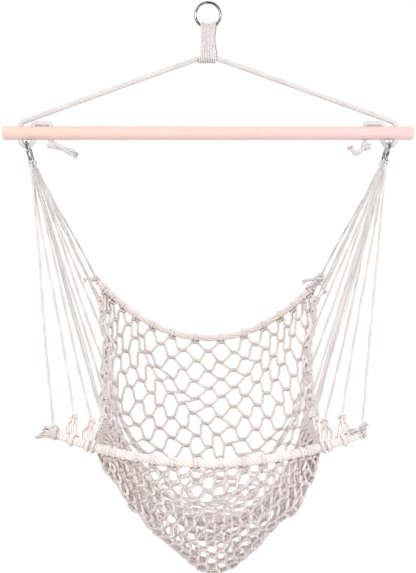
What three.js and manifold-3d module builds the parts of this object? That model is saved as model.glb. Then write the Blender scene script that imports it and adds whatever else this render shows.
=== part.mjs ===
// A hammock chair: a knotted cotton net hung by cords from two steel rings under a round wooden
// bar, and the bar hung by one rope lashed to a third ring. Millimetres, +Z up. The sitter faces
// -Y and +X is to the right of someone who looks at the chair from the front.
// The origin is the inside top of the hanging ring, where a hook carries the whole chair.
import * as THREE from "three";
import { mergeVertices } from "three/addons/utils/BufferGeometryUtils.js";
import Module from "manifold-3d";

const wasm = await Module();
wasm.setup();

// Fits
const seat = 0.3; // between two pieces that bear on each other
const overrun = 1; // how far a drill runs past the face that it leaves by
const weld = 0.003; // corners that lie closer than this are one
const bendStep = THREE.MathUtils.degToRad(18); // a bend's arc takes a point about this often

// Steel rings: one on the hook, and one at each end of the bar
const ringBore = 50;
const ringWire = 6;
const ringSteps = 28;
const ringSides = 8;
const ringLean = THREE.MathUtils.degToRad(14.6); // the side rings lean in, in line with their cords

// Wooden bar, drilled from top to bottom three times near each end
const barLength = 910;
const barDiameter = 30;
const barEdge = 3; // rounding of the bar's ends
const barEdgeSteps = 3;
const barDrop = 287; // from the hook's seat down to the bar's axis
const barSides = 24;
const ropeHolePlay = 1.4; // how much wider a hole is than the rope in it
const holeSides = 12;
const outerHoleInset = 39; // in from the bar's end: the rope comes down here,
const innerHoleInset = 67; // goes up again here, with the side ring in the loop between,
const knotHoleInset = 106; // and comes down here to its stopper knot

// Hanger rope
const hangerRope = 11;
const hangerSides = 8;
const shoulderBend = 40; // bends of the rope's middle line: at the lashing,
const holeBend = 10; // into the outer hole,
const humpBend = 6; // and over the bar between the inner hole and the knot hole
const humpPlay = 0.5; // the rope lies this far over the bar there
const shoulderRise = 8.2; // the two legs meet the outer holes this far over the bar

// Lashing that holds the hanger rope's middle to the ring
const lashingCord = 6;
const lashingTurns = 5;
const lashingPitch = 6.8;
const lashingDrop = 69; // from the ring's wire down to the hanger rope's middle
const lashingPlay = 2.5; // room round the ring's wire, so that the rope can swing on it
const lashingSides = 6;
const archSteps = 10; // a turn goes over the wire and under the rope in arches, with straights between
const straightSteps = 2;

// Knots tied in rope: turns wrapped round the rope itself, with the end left hanging out
const knotSides = 5;
const turnSteps = 9;
const leadSteps = 3; // the first turn leaves the core over this many
const wrapGap = 0.7; // between neighbouring turns
const wrapBite = 1; // how far the turns press into the rope that they go round
const stopperCord = 9;
const stopperTurns = 1.75;
const stopperTail = 46;
const stopperTailFall = 12;

// Harness: ten cords to a side, from the side ring to the edge of the seat
const harnessCord = 4;
const harnessSides = 5;
const eyeSteps = 8;
const eyePlay = 0.5;
const ringArc = THREE.MathUtils.degToRad(108); // how much of the ring the ten eyes take up
const footKnot = 6; // radius of the knot at a cord's foot
const footSides = 6;
const footRings = 4;

// Feet of the cords, from the back corner of the seat to its front corner
const seatHalfDepth = 335;
const seatForward = 27; // the seat's middle stands this far in front of the rings, to hang level
const backHalfWidth = 278;
const waistHalfWidth = 214;
const frontHalfWidth = 289;
const backDrop = 613;
const frontDrop = 903;
const footDepthShares = [1, 0.806, 0.567, 0.299, 0.03, -0.239, -0.507, -0.806, -0.91, -1];
const backWidthShares = [1, 0.797, 0.594, 0.234, 0.141, 0.078, 0];
const frontWidthShares = [0.147, 0.547, 1];
const footDropShares = [0, 0.157, 0.237, 0.517, 0.692, 0.859, 0.969, 0.955, 0.907, 1];
const sideFeet = backWidthShares.length; // the rest hold the front rope

// Edge ropes of the seat
const edgeRope = 17;
const edgeSides = 8;
const edgeSteps = 22;
const edgeCurvePower = 2.1;
const backRopeDrop = 758; // at its middle
const backRopeDepth = 350;
const frontRopeDrop = 955.5;
const frontRopeDepth = 360;
const cornerReach = 14; // from the middle of a corner knot to where rope and cord enter it
const cornerBack = 7; // and how far its core runs on past the middle
const cornerCord = 8;
const cornerTurns = 1.5;
const backTail = [10, 20, 18]; // the back corners' tails hang inward, forward and down,
const frontTail = [30, 0, 12]; // and the front corners' stand out and up
const ropeEyePlay = 0.6; // between an edge rope and the eye of a cord round it
const lacingCord = 5; // draws in the net's side between the last side foot and the front rope
const lacingSides = 5;

// Net, in half meshes: knots sit where column and row are both even or both odd
const netColumns = 16;
const netRows = 30;
const hangInShare = 0.35; // the side knots hang inward by this share of their hang down
const netTwine = 5;
const netLeg = 62; // twine from knot to knot, middle to middle
const legSpread = 0.06; // hand-tied legs differ by this share
const netFrontHalfWidth = 190; // the net takes up this much of the front rope
const middleSpacingShare = 1.3; // how much wider than even the meshes stand at the middle
const knotHalfLength = 9;
const knotFlatHalf = 5;
const knotHalfHeight = 3;
const rowsPerFoot = 4;
const fallShare = 0.003; // how the net hangs: a step of its fall, as a share of a leg,
const fallSteps = 1500;
const pullRounds = 12;
const dampShare = 0.96;
const sinkShare = 6.4; // how deep it starts, in legs
const gatherShare = 0.45; // and how its front draws in and its back stands out, as shares of the fall
const gatherFromShare = 0.35;
const gatherToShare = 0.7;
const spreadShare = 0.8;
const spreadAtShare = 0.3;
const spreadOverShare = 0.3;
const knotRoomShare = 0.3; // knots keep at least this share of a leg apart

// Finishes
const cottonColour = 0xece3de;
const cottonRoughness = 0.95;
const woodColour = 0xe7c3a6;
const woodRoughness = 0.55;
const steelColour = 0xc9cbcc;
const steelRoughness = 0.2;

// Places that follow from the sizes
const outerHole = barLength / 2 - outerHoleInset;
const innerHole = barLength / 2 - innerHoleInset;
const knotHole = barLength / 2 - knotHoleInset;
const ringRadius = (ringBore + ringWire) / 2;
const hangingRingDrop = ringBore / 2;
const ringFoot = hangingRingDrop + ringRadius; // middle of the wire at the hanging ring's foot
const ropeMiddle = ringFoot + lashingDrop;
const barTop = barDrop - barDiameter / 2;
const barUnder = barDrop + barDiameter / 2;
const loopHalf = (outerHole - innerHole) / 2;
const loopMiddle = (outerHole + innerHole) / 2;
const loopDrop = barUnder + loopHalf;
const sideRingTop = loopDrop - (hangerRope + ringWire) / 2 - seat;
const sideRingX = loopMiddle - ringRadius * Math.sin(ringLean);
const sideRingDrop = sideRingTop + ringRadius * Math.cos(ringLean);

const up = new THREE.Vector3(0, 0, 1);
const v3 = (x, y, z) => new THREE.Vector3(x, y, z);
const lerp = THREE.MathUtils.lerp;

function cotton() {
  return new THREE.MeshStandardMaterial({ color: cottonColour, roughness: cottonRoughness });
}

function wood() {
  return new THREE.MeshStandardMaterial({ color: woodColour, roughness: woodRoughness });
}

function steel() {
  return new THREE.MeshStandardMaterial({
    color: steelColour,
    roughness: steelRoughness,
    metalness: 1,
  });
}

// A route through given points, with one step of a tube from each to the next.
class Route extends THREE.Curve {
  constructor(points) {
    super();
    this.points = points;
  }
  getPoint(t) {
    const last = this.points.length - 1;
    const at = Math.min(last - 1, Math.floor(t * last));
    return this.points[at].clone().lerp(this.points[at + 1], t * last - at);
  }
  getPointAt(t) {
    return this.getPoint(t);
  }
  getTangentAt(t) {
    const last = this.points.length - 1;
    const at = Math.round(t * last);
    const before = this.points[Math.max(0, at - 1)];
    const after = this.points[Math.min(last, at + 1)];
    return after.clone().sub(before).normalize();
  }
}

function polygon(radius, sides) {
  const corners = [];
  for (let k = 0; k < sides; k++) {
    const angle = (2 * Math.PI * (k + 0.5)) / sides;
    corners.push(new THREE.Vector2(radius * Math.cos(angle), radius * Math.sin(angle)));
  }
  return new THREE.Shape(corners);
}

function tube(points, diameter, sides) {
  return new THREE.ExtrudeGeometry(polygon(diameter / 2, sides), {
    steps: points.length - 1,
    extrudePath: new Route(points),
    bevelEnabled: false,
  });
}

// A route with straight runs, and an arc of the given radius at each inner corner.
function rounded(corners, radii) {
  const points = [corners[0].clone()];
  for (let k = 1; k < corners.length - 1; k++) {
    const into = corners[k].clone().sub(corners[k - 1]).normalize();
    const out = corners[k + 1].clone().sub(corners[k]).normalize();
    const turn = into.angleTo(out);
    const reach = radii[k - 1] * Math.tan(turn / 2);
    const start = corners[k].clone().addScaledVector(into, -reach);
    const inward = out.clone().addScaledVector(into, -out.dot(into)).normalize();
    const centre = start.clone().addScaledVector(inward, radii[k - 1]);
    const steps = Math.max(2, Math.round(turn / bendStep));
    for (let s = 0; s <= steps; s++) {
      const a = (turn * s) / steps;
      const p = centre.clone().addScaledVector(inward, -radii[k - 1] * Math.cos(a));
      points.push(p.addScaledVector(into, radii[k - 1] * Math.sin(a)));
    }
  }
  points.push(corners[corners.length - 1].clone());
  return points;
}

// The solid of a closed geometry, and the geometry of a solid.
function solidOf(geometry) {
  const g = geometry.clone();
  g.deleteAttribute("normal");
  g.deleteAttribute("uv");
  const merged = mergeVertices(g, weld);
  return new wasm.Manifold(
    new wasm.Mesh({
      numProp: 3,
      vertProperties: merged.attributes.position.array,
      triVerts: new Uint32Array(merged.index.array),
    }),
  );
}

function geometryOf(solid) {
  const m = solid.getMesh();
  const g = new THREE.BufferGeometry();
  g.setAttribute("position", new THREE.BufferAttribute(new Float32Array(m.vertProperties), 3));
  g.setIndex(new THREE.BufferAttribute(m.triVerts, 1));
  return g;
}

function joined(geometries) {
  return geometryOf(geometries.map(solidOf).reduce((a, b) => a.add(b)));
}

function placed(geometry, x, y, z) {
  return geometry.clone().translate(x, y, z);
}

const chair = new THREE.Group();

function add(name, geometry, material) {
  const mesh = new THREE.Mesh(geometry, material);
  mesh.name = name;
  chair.add(mesh);
  return mesh;
}

// Least distance between stretches of a winding that lie more than half a turn apart on it.
function leastGap(points, diameter, apart) {
  let least = Infinity;
  for (let a = 0; a < points.length; a++) {
    for (let b = a + apart; b < points.length; b++) {
      least = Math.min(least, points[a].distanceTo(points[b]));
    }
  }
  return least - diameter;
}

// Rings

function wireRing() {
  return new THREE.TorusGeometry(ringRadius, ringWire / 2, ringSides, ringSteps);
}

function hangingRing() {
  return placed(wireRing().rotateX(Math.PI / 2), 0, 0, -hangingRingDrop);
}

// The bore of a side ring looks along the bar, and the ring's foot leans towards the middle.
function sideRing(side) {
  const g = wireRing().rotateZ(Math.PI / 2).rotateY(Math.PI / 2).rotateY(side * ringLean);
  return placed(g, side * sideRingX, 0, -sideRingDrop);
}

// A place on a side ring's wire, by its angle from the ring's foot towards the back.
function onSideRing(side, angle) {
  const down = v3(-side * Math.sin(ringLean), 0, -Math.cos(ringLean));
  const p = v3(side * sideRingX, 0, -sideRingDrop);
  p.addScaledVector(down, ringRadius * Math.cos(angle));
  return p.addScaledVector(v3(0, 1, 0), ringRadius * Math.sin(angle));
}

function alongSideRing(side, angle) {
  const down = v3(-side * Math.sin(ringLean), 0, -Math.cos(ringLean));
  return down.multiplyScalar(-Math.sin(angle)).addScaledVector(v3(0, 1, 0), Math.cos(angle));
}

// Bar

function spreaderBar() {
  const r = barDiameter / 2;
  const half = barLength / 2;
  const profile = [new THREE.Vector2(0, -half)];
  for (let k = 0; k <= barEdgeSteps; k++) {
    const a = (Math.PI / 2) * (k / barEdgeSteps);
    const x = r - barEdge + barEdge * Math.sin(a);
    profile.push(new THREE.Vector2(x, -half + barEdge - barEdge * Math.cos(a)));
  }
  for (let k = barEdgeSteps; k >= 0; k--) {
    const a = (Math.PI / 2) * (k / barEdgeSteps);
    const x = r - barEdge + barEdge * Math.sin(a);
    profile.push(new THREE.Vector2(x, half - barEdge + barEdge * Math.cos(a)));
  }
  profile.push(new THREE.Vector2(0, half));
  const rod = new THREE.LatheGeometry(profile, barSides).rotateZ(-Math.PI / 2);
  let solid = solidOf(placed(rod, 0, 0, -barDrop));
  const holeRadius = (hangerRope + ropeHolePlay) / 2;
  const drill = new THREE.CylinderGeometry(
    holeRadius,
    holeRadius,
    barDiameter + 2 * overrun,
    holeSides,
  ).rotateX(Math.PI / 2);
  for (const side of [-1, 1]) {
    for (const x of [outerHole, innerHole, knotHole]) {
      solid = solid.subtract(solidOf(placed(drill, side * x, 0, -barDrop)));
    }
  }
  return geometryOf(solid);
}

// Hanger rope: one length, from the stopper knot at one end of the bar to that at the other

const lashingHalf = ((lashingTurns - 1) * lashingPitch + lashingCord) / 2;
const hangerSlope = Math.atan2(barTop - shoulderRise - ropeMiddle, outerHole - lashingHalf);
const shoulderX = lashingHalf + shoulderBend * Math.tan(hangerSlope / 2);
const humpDrop = barTop - hangerRope / 2 - humpPlay;
const knotTop = barUnder; // the rope's ends, each in a stopper knot

function hangerHalf(side) {
  return [
    [knotHole, knotTop, 0],
    [knotHole, humpDrop, humpBend],
    [innerHole, humpDrop, humpBend],
    [innerHole, loopDrop, loopHalf],
    [outerHole, loopDrop, loopHalf],
    [outerHole, barTop - shoulderRise, holeBend],
    [shoulderX, ropeMiddle, shoulderBend],
  ].map(([x, drop, bend]) => ({ place: v3(side * x, 0, -drop), bend }));
}

function hangerRoute() {
  const corners = [...hangerHalf(-1), ...hangerHalf(1).reverse()];
  const places = corners.map((c) => c.place);
  const bends = corners.slice(1, -1).map((c) => c.bend);
  return rounded(places, bends);
}

// Lashing: turns over the ring's wire and under the rope, in one unbroken winding

function lashingRoute() {
  const points = [];
  const topRadius = (ringWire + lashingCord) / 2 + lashingPlay;
  const footRadius = (hangerRope + lashingCord) / 2 + seat;
  const perTurn = 2 * (archSteps + straightSteps);
  const start = (-lashingTurns * lashingPitch) / 2;
  const total = lashingTurns * perTurn;
  for (let n = 0; n <= total; n++) {
    const x = start + (lashingPitch * n) / perTurn;
    const wire = hangingRingDrop + Math.sqrt(ringRadius ** 2 - x ** 2);
    const k = n % perTurn;
    const foot = k <= archSteps ? k / archSteps : null;
    const top = (k - archSteps - straightSteps) / archSteps;
    if (foot !== null) {
      const a = Math.PI * foot;
      const drop = ropeMiddle + footRadius * Math.sin(a);
      points.push(v3(x, footRadius * Math.cos(a), -drop));
    } else if (top < 0) {
      const s = (k - archSteps) / straightSteps;
      points.push(v3(x, -lerp(footRadius, topRadius, s), -lerp(ropeMiddle, wire, s)));
    } else if (top <= 1) {
      const a = Math.PI * top;
      points.push(v3(x, -topRadius * Math.cos(a), -wire + topRadius * Math.sin(a)));
    } else {
      const s = (k - 2 * archSteps - straightSteps) / straightSteps;
      points.push(v3(x, lerp(topRadius, footRadius, s), -lerp(wire, ropeMiddle, s)));
    }
  }
  return { points, perTurn };
}

function ringLashing() {
  const { points, perTurn } = lashingRoute();
  const gap = leastGap(points, lashingCord, perTurn / 2);
  console.log("least gap in the lashing " + gap.toFixed(2) + " mm");
  return tube(points, lashingCord, lashingSides);
}

// Knots: a core along the rope, and turns round it that end in a tail

// Two directions square to an axis: the first leans to a wanted way.
function squareTo(axis, wanted) {
  const first = wanted.clone().addScaledVector(axis, -wanted.dot(axis)).normalize();
  return [first, axis.clone().cross(first)];
}

function wrappedKnot(from, to, cord, turns, tailWay, tailLength) {
  const axis = to.clone().sub(from).normalize();
  const [first, second] = squareTo(axis, tailWay);
  const radius = cord - wrapBite;
  const pitch = cord + wrapGap;
  const middle = from.clone().add(to).multiplyScalar(1 / 2);
  const steps = Math.round(turns * turnSteps);
  const points = [];
  for (let k = 0; k <= steps; k++) {
    const angle = (2 * Math.PI * (k - steps)) / turnSteps - Math.PI / 2;
    const along = pitch * (k / turnSteps - turns / 2);
    const out = radius * Math.min(1, k / leadSteps);
    const p = middle.clone().addScaledVector(axis, along);
    p.addScaledVector(first, out * Math.cos(angle));
    points.push(p.addScaledVector(second, out * Math.sin(angle)));
  }
  const last = points[points.length - 1];
  points.push(last.clone().addScaledVector(tailWay, tailLength));
  return [tube([from, to], cord, knotSides), tube(points, cord, knotSides)];
}

function stopperKnot(side) {
  const from = v3(side * knotHole, 0, -(knotTop + seat));
  const depth = stopperTurns * (stopperCord + wrapGap) + stopperCord;
  const to = from.clone().addScaledVector(up, -depth);
  const tailWay = v3(-side * stopperTail, 0, -stopperTailFall);
  const length = tailWay.length();
  return joined(wrappedKnot(from, to, stopperCord, stopperTurns, tailWay.normalize(), length));
}

// Feet of the harness

function foot(side, k) {
  const width =
    k < sideFeet
      ? lerp(waistHalfWidth, backHalfWidth, backWidthShares[k])
      : lerp(waistHalfWidth, frontHalfWidth, frontWidthShares[k - sideFeet]);
  const drop = lerp(backDrop, frontDrop, footDropShares[k]);
  return v3(side * width, seatHalfDepth * footDepthShares[k] - seatForward, -drop);
}

const footCount = footDepthShares.length;
const lastFoot = footCount - 1;

// Middle line of an edge rope at a distance x from the chair's middle plane.
function onBackRope(x) {
  const rise = (Math.abs(x) / backHalfWidth) ** edgeCurvePower;
  const y = lerp(backRopeDepth, seatHalfDepth, rise);
  return v3(x, y - seatForward, -lerp(backRopeDrop, backDrop, rise));
}

function onFrontRope(x) {
  const rise = (Math.abs(x) / frontHalfWidth) ** edgeCurvePower;
  const y = lerp(frontRopeDepth, seatHalfDepth, rise);
  return v3(x, -y - seatForward, -lerp(frontRopeDrop, frontDrop, rise));
}

// An edge rope runs from corner knot to corner knot.
function edgeRopeRoute(onRope, halfWidth) {
  const points = [];
  for (let k = 0; k <= edgeSteps; k++) {
    points.push(onRope(halfWidth * ((2 * k) / edgeSteps - 1)));
  }
  for (const [end, next] of [[0, 1], [edgeSteps, edgeSteps - 1]]) {
    const way = points[next].clone().sub(points[end]).normalize();
    points[end].addScaledVector(way, cornerReach + seat);
  }
  return points;
}

function cornerKnotSolid(side, onRope, halfWidth, k) {
  const corner = onRope(side * halfWidth);
  const ropeWay = onRope(side * halfWidth * (1 - 2 / edgeSteps)).sub(corner).normalize();
  const from = corner.clone().addScaledVector(ropeWay, cornerReach);
  const to = corner.clone().addScaledVector(ropeWay, -cornerBack);
  const cordWay = cordTop(side, k).sub(corner).normalize();
  const stub = corner.clone().addScaledVector(cordWay, cornerReach);
  const [inward, forward, fall] = backTail;
  const [out, ahead, rise] = frontTail;
  const tailWay =
    corner.y > 0 ? v3(-side * inward, -forward, -fall) : v3(side * out, -ahead, rise);
  const length = tailWay.length();
  return joined([
    ...wrappedKnot(from, to, cornerCord, cornerTurns, tailWay.normalize(), length),
    tube([corner, stub], harnessCord, harnessSides),
  ]);
}

// Harness cords

function ringAngle(k) {
  return ringArc * (1 / 2 - k / lastFoot);
}

function cordTop(side, k) {
  return onSideRing(side, ringAngle(k));
}

// A closed eye round a wire or rope, with a vertex of it towards the cord that it belongs to.
function eye(middle, along, towards, radius, cord) {
  const [out, across] = squareTo(along, towards);
  const g = new THREE.TorusGeometry(radius, cord / 2, harnessSides, eyeSteps);
  const turn = new THREE.Matrix4().makeBasis(out, across, along);
  g.applyMatrix4(turn).translate(middle.x, middle.y, middle.z);
  return { solid: g, start: middle.clone().addScaledVector(out, radius) };
}

function ropeEye(onRope, x, from, cord) {
  const middle = onRope(x);
  const along = onRope(x + cord).sub(onRope(x - cord)).normalize();
  const radius = (edgeRope + cord) / 2 + ropeEyePlay;
  return eye(middle, along, from.clone().sub(middle), radius, cord);
}

function footBall(place, radius) {
  return placed(new THREE.SphereGeometry(radius, footSides, footRings), ...place.toArray());
}

function harnessCordSolid(side, k) {
  const angle = ringAngle(k);
  const radius = (ringWire + harnessCord) / 2 + eyePlay;
  const end = k === 0 ? onBackRope(side * backHalfWidth) : foot(side, k);
  const top = cordTop(side, k);
  const ringEye = eye(top, alongSideRing(side, angle), end.clone().sub(top), radius, harnessCord);
  const pieces = [ringEye.solid];
  if (k === 0 || k === lastFoot) {
    const corner = k === 0 ? end : onFrontRope(side * frontHalfWidth);
    const back = top.clone().sub(corner).normalize();
    const stop = corner.clone().addScaledVector(back, cornerReach + seat);
    pieces.push(tube([ringEye.start, stop], harnessCord, harnessSides));
    return joined(pieces);
  }
  pieces.push(tube([ringEye.start, end], harnessCord, harnessSides), footBall(end, footKnot));
  if (k >= sideFeet) {
    const hold = ropeEye(onFrontRope, end.x, end, harnessCord);
    pieces.push(hold.solid, tube([end, hold.start], harnessCord, harnessSides));
  }
  return joined(pieces);
}

// The lacing runs from the last side foot's knot to an eye on the front rope.
function lacingLine(side) {
  const from = foot(side, sideFeet - 1);
  const hold = ropeEye(onFrontRope, side * waistHalfWidth, from, lacingCord);
  const way = hold.start.clone().sub(from).normalize();
  return { from: from.addScaledVector(way, footKnot + seat), hold };
}

function sideLacing(side) {
  const { from, hold } = lacingLine(side);
  return joined([hold.solid, tube([from, hold.start], lacingCord, lacingSides)]);
}

// Net: its knots start on a smooth bag and fall until the twine holds them

const knotAt = (column, row) => column * (netRows + 1) + row;
const footRows = rowsPerFoot * (sideFeet - 1);
const netBackHalfWidth = backHalfWidth - cornerReach - knotHalfLength - seat;

function gathered(across) {
  return middleSpacingShare * across + (1 - middleSpacingShare) * across ** 3;
}

// Where the side of the net is held at a row, and how thick the cord or knot there is.
function sideHold(side, row) {
  if (row <= footRows) {
    const at = Math.min(Math.floor(row / rowsPerFoot), sideFeet - 2);
    const place = foot(side, at).lerp(foot(side, at + 1), row / rowsPerFoot - at);
    return { place, radius: footKnot };
  }
  const { from, hold } = lacingLine(side);
  const share = (row - footRows) / (netRows - footRows);
  return { place: from.lerp(hold.start, share), radius: lacingCord / 2 };
}

// A knot that hangs square under an edge rope, and lies along it.
function underRope(onRope, x) {
  const along = onRope(x + edgeRope).sub(onRope(x - edgeRope)).normalize();
  const [down] = squareTo(along, v3(0, 0, -1));
  const place = onRope(x).addScaledVector(down, edgeRope / 2 + knotHalfHeight + seat);
  return { place, held: true, across: along };
}

function startPlace(column, row) {
  const x = gathered((2 * column) / netColumns - 1);
  const back = onBackRope(x * netBackHalfWidth);
  const front = onFrontRope(x * netFrontHalfWidth);
  const sideOf = column * 2 < netColumns ? -1 : 1;
  const { place, radius } = sideHold(sideOf, row);
  const hang = v3(-sideOf * hangInShare, 0, -1).normalize();
  place.addScaledVector(hang, radius + knotHalfLength + seat);
  const onSide = column === 0 || column === netColumns;
  if (row === netRows) return underRope(onFrontRope, x * netFrontHalfWidth);
  if (row === 0) return underRope(onBackRope, x * netBackHalfWidth);
  if (onSide) {
    const held = row % rowsPerFoot === 0 || row > footRows;
    return { place, held, across: held ? hang.multiplyScalar(-sideOf) : null };
  }
  const along = row / netRows;
  const middle = back.lerp(front, along);
  place.x = Math.abs(place.x) * x;
  middle.lerp(place, x * x);
  const sink = sinkShare * netLeg * (1 - x * x) * Math.sin(Math.PI * along);
  return { place: middle.addScaledVector(up, -sink), held: false };
}

function netLegs() {
  const legs = [];
  for (let column = 0; column < netColumns; column++) {
    for (let row = column % 2; row <= netRows; row += 2) {
      for (const way of [-1, 1]) {
        if (row + way < 0 || row + way > netRows) continue;
        const a = knotAt(column, row);
        const b = knotAt(column + 1, row + way);
        const unlike = 2 * THREE.MathUtils.seededRandom(a + b * way) - 1; // the same each time
        legs.push({ a, b, way, length: netLeg * (1 + legSpread * unlike) });
      }
    }
  }
  return legs;
}

function drawTogether(knots, a, b, distance, length) {
  const free = (knots[a].held ? 0 : 1) + (knots[b].held ? 0 : 1);
  if (!free || !distance) return;
  const way = knots[b].place.clone().sub(knots[a].place);
  way.multiplyScalar((distance - length) / distance / free);
  if (!knots[a].held) knots[a].place.add(way);
  if (!knots[b].held) knots[b].place.sub(way);
}

function stepKnot(knot) {
  const along = knot.row / netRows;
  const inside = 1 - ((2 * knot.column) / netColumns - 1) ** 2;
  const fall = fallShare * netLeg;
  const span = gatherToShare - gatherFromShare;
  const t = THREE.MathUtils.clamp((along - gatherFromShare) / span, 0, 1);
  const out = Math.max(0, 1 - Math.abs(along - spreadAtShare) / spreadOverShare);
  const sway = knot.place.x / netFrontHalfWidth;
  const moved = knot.place.clone().sub(knot.before).multiplyScalar(dampShare);
  knot.before.copy(knot.place);
  knot.place.add(moved);
  knot.place.z -= fall;
  const draw = gatherShare * t * t * (3 - 2 * t) - spreadShare * out * inside;
  knot.place.x -= fall * sway * draw;
}

function hangNet() {
  const knots = [];
  for (let column = 0; column <= netColumns; column++) {
    for (let row = 0; row <= netRows; row++) {
      const knot = startPlace(column, row);
      knot.before = knot.place.clone();
      knot.used = (column + row) % 2 === 0;
      knot.column = column;
      knot.row = row;
      knots.push(knot);
    }
  }
  const legs = netLegs();
  const used = knots.map((knot, k) => k).filter((k) => knots[k].used);
  const room = knotRoomShare * netLeg;
  for (let step = 0; step < fallSteps; step++) {
    for (const k of used) if (!knots[k].held) stepKnot(knots[k]);
    for (let round = 0; round < pullRounds; round++) {
      for (const { a, b, length } of legs) {
        const distance = knots[a].place.distanceTo(knots[b].place);
        if (distance > length) drawTogether(knots, a, b, distance, length);
      }
    }
    for (let m = 0; m < used.length; m++) {
      for (let n = m + 1; n < used.length; n++) {
        const distance = knots[used[m]].place.distanceTo(knots[used[n]].place);
        if (distance < room) drawTogether(knots, used[m], used[n], distance, room);
      }
    }
  }
  return { knots, legs };
}

// A knot's six corners in its own plane, and the two ports of its corners that each leg leaves by.
const knotOutline = [
  [knotHalfLength, 0],
  [knotFlatHalf, knotHalfHeight],
  [-knotFlatHalf, knotHalfHeight],
  [-knotHalfLength, 0],
  [-knotFlatHalf, -knotHalfHeight],
  [knotFlatHalf, -knotHalfHeight],
];
const legPorts = {
  1: { from: [0, 1], to: [4, 3] }, // up a column and up a row
  "-1": { from: [5, 0], to: [3, 2] }, // up a column and down a row
};

// The way that a knot lies: across the columns, along the rows and through the net.
function knotFrame(knots, column, row) {
  const here = knots[knotAt(column, row)];
  const across = v3(0, 0, 0);
  const along = v3(0, 0, 0);
  for (const dc of [-1, 1]) {
    for (const dr of [-1, 1]) {
      if (column + dc < 0 || column + dc > netColumns) continue;
      if (row + dr < 0 || row + dr > netRows) continue;
      const way = knots[knotAt(column + dc, row + dr)].place.clone().sub(here.place).normalize();
      across.addScaledVector(way, dc);
      along.addScaledVector(way, dr);
    }
  }
  if (here.across) across.copy(here.across);
  across.normalize();
  const through = across.clone().cross(along).normalize();
  return { across, along: through.clone().cross(across), through };
}

// The whole net as one closed surface: each leg leaves a knot between two of its six corners.
function netSolid({ knots, legs }) {
  const places = [];
  const faces = [];
  const first = new Map();
  const taken = new Set();
  const port = (knot, side) => knot * knotOutline.length + side;
  const quad = (a, b, c, d) => faces.push(a, b, c, a, c, d);
  const corner = (knot, k, top) => first.get(knot) + k + (top ? knotOutline.length : 0);
  knots.forEach((knot, k) => {
    if (!knot.used) return;
    const { across, along, through } = knotFrame(knots, knot.column, knot.row);
    first.set(k, places.length);
    for (const level of [-netTwine / 2, netTwine / 2]) {
      for (const [u, v] of knotOutline) {
        const p = knot.place.clone().addScaledVector(across, u).addScaledVector(along, v);
        places.push(p.addScaledVector(through, level));
      }
    }
  });
  for (const { a, b, way } of legs) {
    const { from, to } = legPorts[way];
    const a0 = [false, true].map((top) => corner(a, from[0], top));
    const a1 = [false, true].map((top) => corner(a, from[1], top));
    const b0 = [false, true].map((top) => corner(b, to[0], top));
    const b1 = [false, true].map((top) => corner(b, to[1], top));
    quad(a0[1], b0[1], b1[1], a1[1]);
    quad(a0[0], a1[0], b1[0], b0[0]);
    quad(a0[0], b0[0], b0[1], a0[1]);
    quad(a1[1], b1[1], b1[0], a1[0]);
    taken.add(port(a, from[0])).add(port(b, to[1]));
  }
  const last = knotOutline.length - 1;
  for (const k of first.keys()) {
    for (let m = 1; m < last; m++) {
      faces.push(corner(k, 0, true), corner(k, m, true), corner(k, m + 1, true));
      faces.push(corner(k, 0, false), corner(k, m + 1, false), corner(k, m, false));
    }
    for (let m = 0; m <= last; m++) {
      const next = (m + 1) % knotOutline.length;
      if (taken.has(port(k, m))) continue;
      quad(corner(k, m, false), corner(k, next, false), corner(k, next, true), corner(k, m, true));
    }
  }
  const g = new THREE.BufferGeometry().setFromPoints(places);
  g.setIndex(faces);
  return g;
}

add("hanging_ring", hangingRing(), steel());
add("ring_lashing", ringLashing(), cotton());
add("hanger_rope", tube(hangerRoute(), hangerRope, hangerSides), cotton());
add("spreader_bar", spreaderBar(), wood());
for (const [word, side] of [["left", -1], ["right", 1]]) {
  add("side_ring_" + word, sideRing(side), steel());
  add("stopper_knot_" + word, stopperKnot(side), cotton());
  add("back_corner_knot_" + word, cornerKnotSolid(side, onBackRope, backHalfWidth, 0), cotton());
  add("front_corner_knot_" + word, cornerKnotSolid(side, onFrontRope, frontHalfWidth, lastFoot), cotton());
  add("side_lacing_" + word, sideLacing(side), cotton());
  for (let k = 0; k < footCount; k++) {
    add("harness_cord_" + word + "_" + (k + 1), harnessCordSolid(side, k), cotton());
  }
}
const net = hangNet();
add("seat_net", netSolid(net), cotton());
add("back_rope", tube(edgeRopeRoute(onBackRope, backHalfWidth), edgeRope, edgeSides), cotton());
add("front_rope", tube(edgeRopeRoute(onFrontRope, frontHalfWidth), edgeRope, edgeSides), cotton());

export default chair;
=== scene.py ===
# A hammock chair: a cotton net between two edge ropes, hung by cords and steel rings from a
# wooden bar. Metres, +Z up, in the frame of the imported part. The sitter looks along -Y.
import math

import bmesh
import bpy
import numpy as np
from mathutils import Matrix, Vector


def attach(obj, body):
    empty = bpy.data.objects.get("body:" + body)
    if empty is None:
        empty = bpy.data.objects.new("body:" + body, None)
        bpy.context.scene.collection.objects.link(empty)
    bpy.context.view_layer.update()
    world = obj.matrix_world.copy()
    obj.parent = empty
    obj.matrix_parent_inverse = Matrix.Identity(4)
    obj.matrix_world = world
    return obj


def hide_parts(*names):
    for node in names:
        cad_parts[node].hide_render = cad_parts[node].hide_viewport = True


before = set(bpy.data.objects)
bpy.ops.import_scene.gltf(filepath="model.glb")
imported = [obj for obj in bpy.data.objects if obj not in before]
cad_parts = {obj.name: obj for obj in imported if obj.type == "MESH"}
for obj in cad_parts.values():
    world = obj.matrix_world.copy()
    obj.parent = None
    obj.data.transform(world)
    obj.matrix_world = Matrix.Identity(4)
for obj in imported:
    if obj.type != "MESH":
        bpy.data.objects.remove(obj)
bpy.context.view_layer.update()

scene = bpy.context.scene
TURN = 2 * math.pi

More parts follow.
